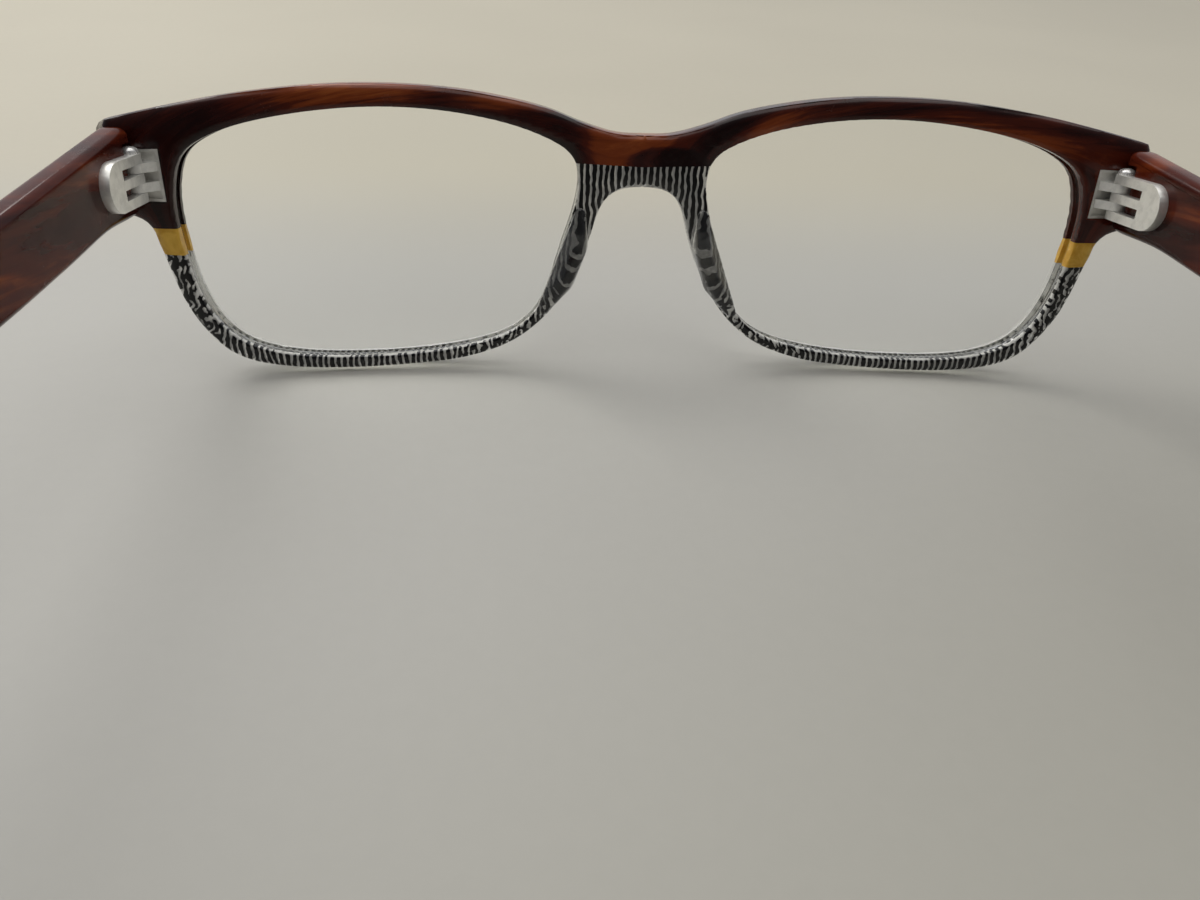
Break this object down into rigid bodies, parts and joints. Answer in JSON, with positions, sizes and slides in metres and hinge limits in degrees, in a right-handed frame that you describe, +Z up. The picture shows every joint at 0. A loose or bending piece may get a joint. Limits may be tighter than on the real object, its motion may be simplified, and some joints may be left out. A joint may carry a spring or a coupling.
{
  "type": "full-rim eyeglasses",
  "caption": "Full-rim acetate eyeglasses, tortoise brow over clear patterned lower rims, with folding temples on barrel hinges.",
  "frame": {"origin": "under the middle of the open glasses, on the surface they stand on", "axes": "+Z up, +Y the way the wearer looks, +X the wearer's right"},
  "size_m": [0.1418, 0.139, 0.0389],
  "materials": {
    "front_tortoise": "polished red-brown tortoise acetate with orange streaks",
    "patterned_acetate": "polished clear acetate with wavy black bars",
    "clear_acetate": "polished clear acetate",
    "accent_acetate": "polished mustard acetate",
    "pad_acetate": "clear acetate with fine dark specks",
    "lens_plastic": "polished clear lens",
    "hinge_metal": "satin silver nickel plate",
    "screw_metal": "bright silver screw",
    "temple_tortoise": "polished dark red-brown tortoise acetate",
    "core_metal": "plain drawn wire"
  },
  "bodies": {
    "front": {"front_brow": "front_tortoise", "lower_core": "clear_acetate", "pattern_skin_back": "patterned_acetate", "pattern_skin_front": "patterned_acetate", "accent_block_left": "accent_acetate", "accent_block_right": "accent_acetate", "nose_pad_left": "pad_acetate", "nose_pad_right": "pad_acetate", "lens_left": "lens_plastic", "lens_right": "lens_plastic", "front_hinge_left": "hinge_metal", "front_hinge_right": "hinge_metal"},
    "temple_arm_left": {"temple_left": "temple_tortoise", "temple_hinge_left": "hinge_metal", "hinge_screw_left": "screw_metal", "core_wire_left": "core_metal"},
    "temple_arm_right": {"temple_right": "temple_tortoise", "temple_hinge_right": "hinge_metal", "hinge_screw_right": "screw_metal", "core_wire_right": "core_metal"}
  },
  "joints": [
    {"name": "fold_left", "type": "hinge", "parent": "front", "child": "temple_arm_left", "pos_m": [-0.0657, 0.05922, 0.02812], "axis": [0, 0.1564, 0.9877], "range_deg": [0, 90]},
    {"name": "fold_right", "type": "hinge", "parent": "front", "child": "temple_arm_right", "pos_m": [0.0657, 0.05922, 0.02812], "axis": [0, -0.1564, -0.9877], "range_deg": [0, 82]}
  ]
}
